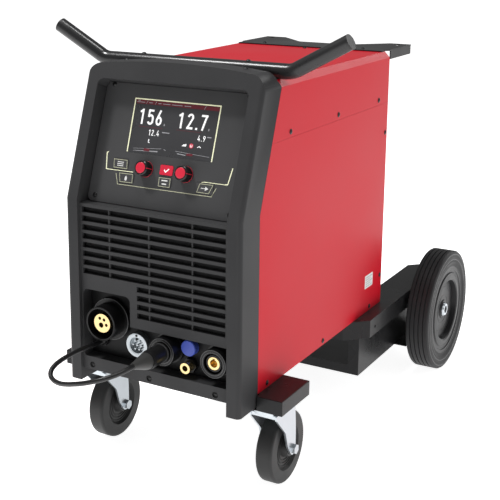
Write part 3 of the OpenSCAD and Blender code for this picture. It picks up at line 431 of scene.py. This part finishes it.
def arc(cx, cy, rx, ry, start, end, steps):
    """Points along an ellipse, from start to end in degrees."""
    angles = [math.radians(start + (end - start) * k / steps) for k in range(steps + 1)]
    return [(cx + rx * math.cos(a), cy + ry * math.sin(a)) for a in angles]


# A dark red title strip with marks, rules under the large readings and scales at the bottom.
on_glass("display_title_strip", [[(-76, 176.8), (-76, 170.6), (80.6, 170.2), (80.6, 176.8)]],
         0, 0.05, screen_red)
title_words = [rectangle(x, 173.2, w, 1.1) for x, w in
               ((-67, 15), (-48, 7), (-31, 6), (-18, 14), (2, 20), (22, 12))]
title_words.append(rectangle(-71, 175.4, 5, 1))
title_strokes = [[(x, 171.2), (x + 1.0, 171.2), (x + 3.6, 176.4), (x + 2.6, 176.4)]
                 for x in (-57, -40, 52.5)]
on_glass("display_title_marks", title_words + title_strokes, 0.08, 0.03, screen_pale)
on_glass("display_rules", [rectangle(-41, 133.6, 46, 0.55), rectangle(31, 134.0, 47, 0.55)],
         0, 0.05, screen_red)
on_glass("display_scales",
         [[(-68, 96.6), (-14, 100.6), (-14, 101.2), (-68, 97.0)],
          [(-66, 93.2), (-20, 94.8), (-20, 96.6), (-66, 93.8)],
          [(13, 99.8), (76, 96.6), (76, 97.2), (13, 100.4)],
          [(17, 95.8), (33, 94.6), (33, 96.0), (17, 97.2)],
          [(-9, 100), (-5, 98.4), (-5, 99.2), (-9, 100.8)]], 0, 0.05, screen_pale)
on_glass("display_scale_marks", [rectangle(-41, 96.6, 11, 4.4), rectangle(40, 97, 11, 3.6)],
         0.05, 0.04, screen_red)
on_glass("display_signal", [arc(40.4, 111.4, 3.9, 3.9, 0, 360, 20)[:-1]], 0.06, 0.04, signal_red)
on_glass("display_symbols",
         [[(23, 109.2), (26, 112.2), (31.4, 113.4), (31, 109.4)],
          [(51, 110.2), (55, 112.6), (59, 110.2), (57.6, 109.4), (55, 111.2), (52.4, 109.4)],
          rectangle(-40.2, 111.6, 1.6, 5.4), rectangle(-39, 108.8, 3, 1)] +
         line_outlines([(38.8, 113.2), (38.8, 110.2), (40.4, 109.2), (42, 110.2), (42, 113.2)],
                       0.9), 0.12, 0.04, screen_white)

# Each figure as pen strokes in a box 0.46 wide and 1 high. A loop is a closed stroke.
PEN = 0.1344
LOOP_STEPS = 24
FIGURES = {
    "1": [[(0.0, 0.78), (0.2, 0.93)], [(0.2, 1.0), (0.2, 0.0)]],
    "2": [arc(0.23, 0.755, 0.16, 0.175, 175, -30, 12) + [(0.1, 0.09)],
          [(0.02, 0.07), (0.46, 0.07)]],
    "4": [[(0.27, 1.0), (0.08, 0.27)], [(0.0, 0.27), (0.48, 0.27)], [(0.34, 0.52), (0.34, 0.0)]],
    "5": [[(0.42, 0.93), (0.08, 0.93)], [(0.08, 1.0), (0.08, 0.5)],
          [(0.08, 0.54)] + arc(0.23, 0.42, 0.16, 0.2, 110, 0, 6) +
          arc(0.23, 0.23, 0.16, 0.16, 0, -170, 10)],
    "6": [arc(0.23, 0.3, 0.16, 0.23, 0, 360, LOOP_STEPS)[:-1], [(0.3, 1.0), (0.085, 0.4)]],
    "7": [[(0.0, 0.93), (0.46, 0.93)], [(0.38, 0.96), (0.16, 0.0)]],
    "9": [arc(0.23, 0.7, 0.16, 0.23, 0, 360, LOOP_STEPS)[:-1], [(0.16, 0.0), (0.375, 0.6)]],
    ".": [[(0.0, 0.07), (0.14, 0.07)]],
}


def figures(name, places, s, height, wide):
    """Generic numbers on the display, from (figure, x of its left edge) pairs."""
    outlines = []
    for figure, x in places:
        for stroke in FIGURES[figure]:
            points = [(x + px * height * wide, s + py * height) for px, py in stroke]
            outlines += line_outlines(points, PEN * height, closed=len(stroke) == LOOP_STEPS)
    on_glass(name, outlines, 0.1, 0.04, screen_white)


figures("display_reading_left", (("1", -64.5), ("5", -49.5), ("6", -33.5)), 137.4, 25.2, 1.02)
figures("display_reading_right", (("1", 9.8), ("2", 25.2), (".", 42.2), ("7", 50.6)),
        137.2, 25.2, 1.02)
figures("display_small_left", (("1", -42.5), ("2", -37.5), (".", -30.8), ("4", -27.6)),
        120.4, 9.4, 1.05)
figures("display_small_right", (("4", 49.6), (".", 56.4), ("9", 59.4)), 120.2, 9.2, 1.05)
on_glass("display_units",
         [rectangle(-10.5, 127.2, 14, 1.5), rectangle(70.3, 127.6, 7.6, 1.5),
          [(-17, 138), (-14.6, 138), (-15.4, 141.6), (-16.2, 141.6)],
          rectangle(67.2, 139.4, 1.4, 3.6)], 0.1, 0.03, screen_pale)

# --- Control panel --------------------------------------------------------------------------

FACE = 25.95           # depth just in front of the panel's face
KEY_FACE = 24.98       # depth just in front of the keys' faces
BOLD, FINE = 1.7, 1.0  # widths of the printed lines

# Printed lines: the window's frame and the brackets round the keys.
frame_line = line_outlines([(-77.4, 90.2), (-78.4, 178.3), (82, 178.6), (81.7, 90)], 2.0)
left_bracket = line_outlines([(-113.2, 86), (-115.8, 84.6), (-112, 58), (-108, 57.6)], BOLD)
left_bracket += line_outlines([(-108, 57.6), (-59, 57.9)], 1.1)
right_bracket = line_outlines([(70.5, 56.6), (76, 57.6), (112, 57.8)], FINE)
right_bracket += line_outlines([(112, 57.8), (116.8, 58.4), (121, 84.4)], BOLD)
panel_plates("panel_bold_lines", frame_line + left_bracket + right_bracket, FACE, 0.08, pale_line)
low_bracket = line_outlines([(-91.5, 52.6), (-85, 35.4), (91.8, 36.4), (98, 50.6)], FINE)
panel_plates("panel_fine_lines", low_bracket, FACE, 0.08, thin_line)

# Each key's printed outline, from its lower left corner round.
KEY_LINES = {
    "menu_button": [(-97, 62), (-71.5, 62), (-73.5, 75.6), (-99, 75.4)],
    "gas_test_button": [(-80.5, 40), (-57, 40.4), (-58.5, 54), (-84, 53.6)],
    "mode_button": [(-6.5, 41.4), (14, 41.4), (13.4, 55.4), (-7.4, 55)],
    "wire_feed_button": [(65, 40.6), (86.5, 40.6), (92, 54.4), (68.5, 54.2)],
}
for key, outline in KEY_LINES.items():
    panel_plates(key + "_outline", line_outlines(outline, 0.8, closed=True), KEY_FACE, 0.06,
                 thin_line, key)


def drop(x, s, half_width, half_height):
    """The outline of a drop, round below and narrow above."""
    steps = 18
    angles = [2 * math.pi * k / steps for k in range(steps)]
    return [(x + half_width * math.sin(a) * (0.5 + 0.5 * math.cos(a / 2) ** 2),
             s - half_height * math.cos(a)) for a in angles]


# Simple symbols on the keys: a list, a drop, an arrow, two bars and a tick.
SYMBOLS = {
    "menu_button": [rectangle(-85.4, s, 12, 1.2) for s in (65.7, 68.7, 71.7)],
    "gas_test_button": [drop(-70.3, 46.6, 3.0, 4.0)],
    "wire_feed_button": [[(71.5, 46.9), (79, 46.9), (79, 44.2), (85, 47.5), (79, 50.8),
                          (79, 48.1), (71.5, 48.1)]],
    "mode_button": [rectangle(3.4, 51.2, 11, 2.0), rectangle(3.4, 45.6, 8.6, 2.0)],
    "set_button": [[(-1.4, 67.6), (0, 69.0), (2.6, 66.4), (7.4, 71.2), (8.8, 69.8), (2.6, 63.6)]],
}
for key, outlines in SYMBOLS.items():
    # The tick on the red key uses the display's glowing white: painted light on print.
    ink, slot = (screen_white, "red_key") if key == "set_button" else (label_white, "dark_key")
    panel_plates(key + "_symbol", outlines, KEY_FACE, 0.06, ink, key)

# Knobs: a red cap with a low dome, a red line round the skirt and a red pointer line.
KNOB_S = 65.5
POINTER_AIM = math.radians(2)
POINTER_HALF = 0.055        # half the pointer's width, in radians
for side, x in (("left", -35.1), ("right", 39.9)):
    knob = "knob_" + side
    lathe(knob + "_cap", [(-0.5, 8.8), (0.3, 8.8), (0.6, 8.2), (0.85, 6), (1.0, 2.5), (1.05, 0.1)],
          on_panel(x, KNOB_S, 8.5), PANEL_OUT, red_plastic, knob, 48)
    thin_ring(knob + "_skirt_line", on_panel(x, KNOB_S, 24.6), PANEL_OUT, 13.25, 12.6, 0.7,
              red_plastic, knob)
    stripe = []
    for angle in (POINTER_AIM - POINTER_HALF, POINTER_AIM + POINTER_HALF):
        for depth, r in ((8.35, 10.6), (9.8, 12.1), (24.9, 13.1)):
            stripe.append(on_panel(x + r * math.cos(angle), KNOB_S + r * math.sin(angle), depth))
    finish_piece(knob + "_pointer",
                 mesh_from(knob + "_pointer", stripe, [[0, 1, 4, 3], [1, 2, 5, 4]]),
                 red_plastic, knob)

# --- Sockets --------------------------------------------------------------------------------

# Grey lines round the socket rims: painted highlights on their edges.
thin_ring("torch_socket_rim", at(TORCH[0], -6.42, TORCH[1]), FORWARD, 28.9, 27.4, 0.08,
          edge_highlight_grey, "casing")
thin_ring("torch_flange_rim", at(TORCH[0], 22, TORCH[1]), FORWARD, 36.0, 34.6, 0.6,
          edge_highlight_grey, "casing")
for side, x in zip(("left", "right"), POWER_X):
    thin_ring("power_socket_rim_" + side, at(x, 0, POWER_Z), FORWARD, 23.1, 22.2, 0.5,
              edge_highlight_grey, "casing")
    thin_ring("power_socket_ring_" + side, at(x, 0, POWER_Z), FORWARD, 19.4, 18.4, 0.5,
              edge_highlight_grey, "casing")
lathe("power_socket_collar",
      [(-18, 14.2), (-3.2, 14.2), (-2.6, 13.6), (-2.6, 11.4), (-3.2, 10.8), (-18, 10.8)],
      at(POWER_X[1], 0, POWER_Z), FORWARD, black_plastic, "casing", 72,
      ring=True)

# The round connector's screw-on ring, and black discs painted as the shade in its key holes.
thin_ring("remote_socket_shell", at(REMOTE[0], SOCKET_FACE_Y, REMOTE[1]), FORWARD, 20.4, 15.4,
          0.5, silver, "casing")
for i, (x, y, z) in enumerate(((-39.2, SOCKET_FACE_Y, 254.6), (-40.6, SOCKET_FACE_Y + 3, 247.4))):
    lathe("remote_socket_key_shade_%d" % i, [(-0.2, 2.2), (0.7, 2.2), (0.9, 1.9), (0.9, 0.1)],
          at(x, y, z), FORWARD, shade_black, "casing", 24)

# The plug's smooth rubber sleeve bends up a little and tapers to the cable.
lathe("plug_sleeve",
      [(-0.4, 12.6), (0.4, 13.4), (2.0, 13.7), (4, 13.4), (12, 11.6), (22, 9.3), (30, 7.1),
       (36, 5.7), (38.0, 5.2), (38.4, 4.4)],
      at(POWER_X[0], -42, POWER_Z), PLUG_OUT, sleeve_rubber, "casing", 72)
# The grip ring's grey is a painted highlight.
thin_ring("plug_grip_ring", at(POWER_X[0], -3, POWER_Z), FORWARD, 15.9, 15.1, 2.4, edge_highlight_grey,
          "casing")

# A dark sheet behind the louvres is painted shade inside the casing: a wavy front and a flat back.
SHADE_SHEET_CELLS = 40
SHADE_SHEET_FRONT_Y, SHADE_SHEET_BACK_Y = 16, 19


def shade_sheet(name, x0, x1, z0, z1):
    row = SHADE_SHEET_CELLS + 1
    layer = row * row
    xs = [x0 + (x1 - x0) * i / SHADE_SHEET_CELLS for i in range(row)]
    zs = [z0 + (z1 - z0) * i / SHADE_SHEET_CELLS for i in range(row)]
    vertices = [at(x, SHADE_SHEET_FRONT_Y + 0.5 * math.sin(x * 0.9) * math.cos(z * 0.8), z)
                for z in zs for x in xs]
    vertices += [at(x, SHADE_SHEET_BACK_Y, z) for z in zs for x in xs]
    faces = []
    for j in range(SHADE_SHEET_CELLS):
        for i in range(SHADE_SHEET_CELLS):
            k = j * row + i
            b = layer + k
            faces.append([k, k + 1, k + row + 1, k + row])
            faces.append([b, b + row, b + row + 1, b + 1])
    rim = list(range(row)) + [j * row + SHADE_SHEET_CELLS for j in range(1, row)]
    rim += [layer - 1 - i for i in range(1, row)]
    rim += [(SHADE_SHEET_CELLS - j) * row for j in range(1, SHADE_SHEET_CELLS)]
    faces += [[a, b, b + layer, a + layer] for a, b in zip(rim, rim[1:] + rim[:1])]
    finish_piece(name, mesh_from(name, vertices, faces), interior_shade_sheet, "casing", 60)


shade_sheet("interior_shade_left", -137, -44, 325, 466)
shade_sheet("interior_shade_right", -44, 137, 275, 466)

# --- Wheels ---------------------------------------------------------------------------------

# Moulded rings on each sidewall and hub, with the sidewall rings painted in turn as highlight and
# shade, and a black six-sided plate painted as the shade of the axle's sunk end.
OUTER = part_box("tyre_right")[1][0] * 1000
TYRE_RINGS = (118.0, 113.6, 107.4, 103.6)
HUB_RINGS = ((92.4, 2.5), (77.4, 2.4), (57.0, 12.0), (48.0, 12.0), (30.0, 12.0))
for side, sign in (("left", -1), ("right", 1)):
    outward = Vector((sign, 0, 0))
    wheel = "rear_wheel_" + side
    for i, radius in enumerate(TYRE_RINGS):
        thin_ring("tyre_ring_%s_%d" % (side, i), at(sign * OUTER, *REAR_AXLE), outward, radius,
                  radius - 0.9, 0.12, shade_black if i % 2 else edge_highlight_grey, wheel)
    for i, (radius, sink) in enumerate(HUB_RINGS):
        thin_ring("hub_ring_%s_%d" % (side, i), at(sign * (OUTER - sink), *REAR_AXLE), outward,
                  radius, radius - 1.6, 0.5, hub_plastic, wheel)
    lathe("axle_socket_shade_" + side, [(-0.2, 7.4), (0.5, 7.4), (0.7, 7.0), (0.7, 0.1)],
          at(sign * (OUTER - 7), *REAR_AXLE), outward, shade_black, "casing", 6)

for side in ("left", "right"):
    wheel = "caster_wheel_" + side
    low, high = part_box(wheel)
    for sign in (-1, 1):
        outward = Vector((sign, 0, 0))
        for i, radius in enumerate((34.0, 29.0, 24.0)):
            thin_ring("caster_ring_%s_%d_%d" % (side, sign, i),
                      (low + high) / 2 + outward * 0.01, outward, radius, radius - 1.8, 1.4,
                      caster_rubber, wheel)

# --- Casing ---------------------------------------------------------------------------------


def side_plate(name, y, z, material, x, thick, r):
    """A thin plate with round corners on the right side; y and z are ranges."""
    outline = rounded((y[0] + y[1]) / 2, (z[0] + z[1]) / 2, y[1] - y[0], z[1] - z[0], r)
    vertices = [at(x, a, b) for a, b in outline] + [at(x + thick, a, b) for a, b in outline]
    mesh = mesh_from(name, vertices, prism_faces(0, len(outline)))
    return finish_piece(name, mesh, material, "casing")


def screw_ring(name, where, axis, r_out, rise, material):
    """A black ring round a screw's head: a washer on the side sheets, and painted counterbore shade
    on the front.
    """
    thin_ring(name, where, axis, r_out, 2.4, rise, material, "casing", steps=32)


side_plate("rating_label", (493, 531), (231, 257), label_white, SIDE_X, 0.35, 1.5)
for sign in (-1, 1):
    for i, y in enumerate((161, 346, 529)):
        screw_ring("seam_washer_%d_%d" % (sign, i), at(sign * (SIDE_X + 0.05), y, 592.5),
               Vector((sign, 0, 0)), 4.6, 0.8, dark_screw)
for i, (y, z) in enumerate(((92, SCREW_ROW_Z), (306, SCREW_ROW_Z), (519, SCREW_ROW_Z),
                            (567, 240.5), (567, 525.5))):
    screw_ring("sheet_washer_%d" % i, at(SIDE_X + 0.05, y, z), Vector((1, 0, 0)), 4.6, 0.8,
           dark_screw)
# Black discs round the front screws are painted shade of their counterbores.
for i, x in enumerate((-122, -8, 117)):
    screw_ring("trim_screw_shade_%d" % i, at(x, 9.9, SCREW_ROW_Z), FORWARD, 5.3, 1.0, shade_black)

# Faint lines printed on the rating label, every second one shorter.
LINE_STEP = 4.4
for i in range(5):
    low_z = 234.4 + i * LINE_STEP
    side_plate("rating_label_line_%d" % i, (496, 520 if i % 2 else 528), (low_z, low_z + 1),
               label_ink, SIDE_X + 0.3, 0.1, 0.4)

# Wound wire on the spool: one ridge for each turn.
TURNS, PITCH = 46, 2
winding = []
for i in range(TURNS):
    d = 4.6 + i * PITCH
    winding += [(d, 132.4), (d + PITCH / 2, 133.2)]
winding.append((96.0, 132.4))
lathe("wound_wire", winding, at(-144, 400, 400), Vector((1, 0, 0)), copper_wire, "wire_spool",
      96, smooth=60)

# --- Floor and light ------------------------------------------------------------------------

FLOOR_HALF = 30             # metres
floor_mesh = mesh_from("floor", [(-FLOOR_HALF, -FLOOR_HALF, 0), (FLOOR_HALF, -FLOOR_HALF, 0),
                                 (FLOOR_HALF, FLOOR_HALF, 0), (-FLOOR_HALF, FLOOR_HALF, 0)],
                       [[0, 1, 2, 3]])
floor = bpy.data.objects.new("floor", floor_mesh)
scene.collection.objects.link(floor)
floor_mesh.materials.append(floor_paint)
floor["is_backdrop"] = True

world = bpy.data.worlds.new("studio")
scene.world = world
world.use_nodes = True
background = world.node_tree.nodes["Background"]
background.inputs["Color"].default_value = (1, 1, 1, 1)
background.inputs["Strength"].default_value = 0.24

LIGHT_AIM = Vector((0, 0, 0.4))     # metres


def softbox(name, where, size, watts):
    """An area light aimed at the machine's middle; where and size are in metres."""
    light = bpy.data.objects.new(name, bpy.data.lights.new(name, "AREA"))
    light.data.shape = "RECTANGLE"
    light.data.size, light.data.size_y = size
    light.data.energy = watts
    light.location = where
    light.rotation_mode = "QUATERNION"
    light.rotation_quaternion = (LIGHT_AIM - Vector(where)).to_track_quat("-Z", "Y")
    scene.collection.objects.link(light)


softbox("key_light", (-1.5, -1.05, 3.6), (0.5, 0.5), 74)
softbox("top_light", (0.0, -0.3, 4.2), (0.8, 0.8), 30)
softbox("side_light", (3.0, -0.2, 2.0), (1.2, 1.2), 7)
softbox("back_light", (0.9, 3.1, 2.3), (1.8, 1.2), 24)
scene.view_settings.view_transform = "Standard"

# --- Sizes and end --------------------------------------------------------------------------

low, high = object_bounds()
